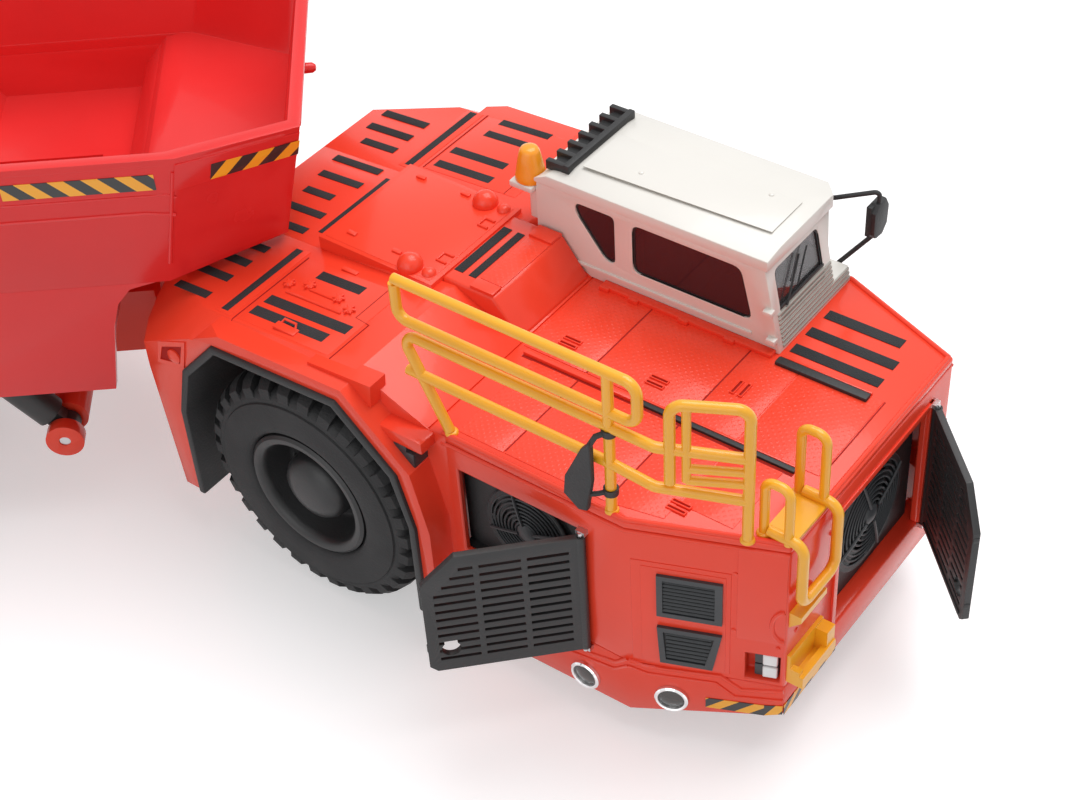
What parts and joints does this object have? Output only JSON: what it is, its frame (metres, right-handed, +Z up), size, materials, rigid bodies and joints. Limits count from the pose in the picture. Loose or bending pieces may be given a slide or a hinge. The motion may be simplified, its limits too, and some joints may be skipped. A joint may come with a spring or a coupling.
{
  "type": "articulated underground mining truck, 1:50 die-cast model",
  "caption": "Die-cast model of a low articulated underground mining truck, with an offset cab, hooded fenders, louvred radiator doors, access rails and a tipping box.",
  "frame": {"origin": "on the ground, under the middle of the box around the truck as it is parked with its hitch turned", "axes": "+X is the front unit's forward, +Y its left, +Z up"},
  "size_m": [0.2414, 0.1348, 0.0682],
  "materials": {
    "red_paint": "gloss orange-red enamel",
    "beige_paint": "satin off-white",
    "yellow_paint": "gloss amber yellow",
    "black_plastic": "moulded matt black",
    "grey_plastic": "moulded dark grey",
    "black_metal": "satin black",
    "rim_black": "satin dark grey",
    "steel": "bright",
    "tyre": "matt rubber",
    "window": "tinted clear",
    "amber_lens": "clear orange",
    "clear_lens": "clear white",
    "red_lens": "clear red",
    "chrome_ring": "bright"
  },
  "bodies": {
    "front": {"arch_liner_left": "black_plastic", "arch_liner_right": "black_plastic", "axle_front": "black_metal", "beacon": "amber_lens", "beacon_bracket": "beige_paint", "bumper": "red_paint", "cab_roof": "beige_paint", "cab_shell": "beige_paint", "cab_side_glass": "window", "deck": "red_paint", "door_hinges": "steel", "fender_left": "red_paint", "fender_right": "red_paint", "front_frame": "red_paint", "gate": "yellow_paint", "handrail": "yellow_paint", "head_lamps": "clear_lens", "hitch_pin": "steel", "hood": "red_paint", "hood_crest": "red_paint", "ladder": "yellow_paint", "mirror_left": "black_plastic", "nose_shell": "red_paint", "nose_vents": "black_plastic", "radiator_front": "black_plastic", "radiator_side": "black_plastic", "roof_louvre": "black_plastic", "round_lamps": "chrome_ring", "seat": "black_plastic", "windscreen": "window"},
    "rear": {"axle_rear": "black_metal", "bed_pin": "steel", "hoist_pins": "steel", "rear_frame": "red_paint", "tail_lamps": "red_lens"},
    "box": {"box_brackets": "red_paint", "box_trough": "red_paint", "box_tub": "red_paint", "box_well": "red_paint"},
    "side_door": {"grille_door_side": "grey_plastic"},
    "front_door": {"grille_door_front": "grey_plastic"},
    "wheel_front_right": {"rim_front_right": "rim_black", "tyre_front_right": "tyre"},
    "wheel_front_left": {"rim_front_left": "rim_black", "tyre_front_left": "tyre"},
    "wheel_rear_right": {"rim_rear_right": "rim_black", "tyre_rear_right": "tyre"},
    "wheel_rear_left": {"rim_rear_left": "rim_black", "tyre_rear_left": "tyre"},
    "barrel_right": {"hoist_barrel_right": "black_metal"},
    "sleeve_right": {"hoist_sleeve_right": "steel"},
    "rod_right": {"hoist_rod_right": "steel"},
    "barrel_left": {"hoist_barrel_left": "black_metal"},
    "sleeve_left": {"hoist_sleeve_left": "steel"},
    "rod_left": {"hoist_rod_left": "steel"}
  },
  "joints": [
    {"name": "articulation", "type": "hinge", "parent": "front", "child": "rear", "pos_m": [-0.00878, 0.03323, 0.02], "axis": [0, 0, 1], "range_deg": [-82, 3]},
    {"name": "roll_front_right", "type": "hinge", "parent": "front", "child": "wheel_front_right", "pos_m": [0.03222, 0.00853, 0.0198], "axis": [0, 1, 0], "continuous": true},
    {"name": "roll_front_left", "type": "hinge", "parent": "front", "child": "wheel_front_left", "pos_m": [0.03222, 0.05793, 0.0198], "axis": [0, 1, 0], "continuous": true},
    {"name": "roll_rear_right", "type": "hinge", "parent": "rear", "child": "wheel_rear_right", "pos_m": [-0.05094, -0.03354, 0.0198], "axis": [-0.6361, 0.7716, 0], "continuous": true},
    {"name": "roll_rear_left", "type": "hinge", "parent": "rear", "child": "wheel_rear_left", "pos_m": [-0.08236, 0.00458, 0.0198], "axis": [-0.6361, 0.7716, 0], "continuous": true},
    {"name": "box_tip", "type": "hinge", "parent": "rear", "child": "box", "pos_m": [-0.08671, -0.03101, 0.027], "axis": [0.6361, -0.7716, 0], "range_deg": [0, 60]},
    {"name": "hoist_lean_right", "type": "hinge", "parent": "rear", "child": "barrel_right", "pos_m": [-0.01589, -0.00374, 0.0125], "axis": [0.6361, -0.7716, 0], "range_deg": [0, 8.13]},
    {"name": "hoist_sleeve_right", "type": "slide", "parent": "barrel_right", "child": "sleeve_right", "axis": [-0.4531, -0.3735, 0.8094], "range_m": [0, 0.02586]},
    {"name": "hoist_rod_right", "type": "slide", "parent": "sleeve_right", "child": "rod_right", "axis": [-0.4531, -0.3735, 0.8094], "range_m": [0, 0.02586]},
    {"name": "hoist_lean_left", "type": "hinge", "parent": "rear", "child": "barrel_left", "pos_m": [-0.04642, 0.0333, 0.0125], "axis": [0.6361, -0.7716, 0], "range_deg": [0, 8.13]},
    {"name": "hoist_sleeve_left", "type": "slide", "parent": "barrel_left", "child": "sleeve_left", "axis": [-0.4531, -0.3735, 0.8094], "range_m": [0, 0.02586]},
    {"name": "hoist_rod_left", "type": "slide", "parent": "sleeve_left", "child": "rod_left", "axis": [-0.4531, -0.3735, 0.8094], "range_m": [0, 0.02586]},
    {"name": "side_door_swing", "type": "hinge", "parent": "front", "child": "side_door", "pos_m": [0.07962, 0.00313, 0.025], "axis": [0, 0, 1], "range_deg": [-45, 45]},
    {"name": "front_door_swing", "type": "hinge", "parent": "front", "child": "front_door", "pos_m": [0.10672, 0.04913, 0.025], "axis": [0, 0, 1], "range_deg": [-44, 51]}
  ],
  "couplings": [
    {"joint": "hoist_lean_right", "follows": "box_tip", "ratio": 0.12719},
    {"joint": "hoist_sleeve_right", "follows": "box_tip", "m_per_rad": 0.024505},
    {"joint": "hoist_rod_right", "follows": "box_tip", "m_per_rad": 0.024505},
    {"joint": "hoist_lean_left", "follows": "box_tip", "ratio": 0.12719},
    {"joint": "hoist_sleeve_left", "follows": "box_tip", "m_per_rad": 0.024505},
    {"joint": "hoist_rod_left", "follows": "box_tip", "m_per_rad": 0.024505}
  ]
}
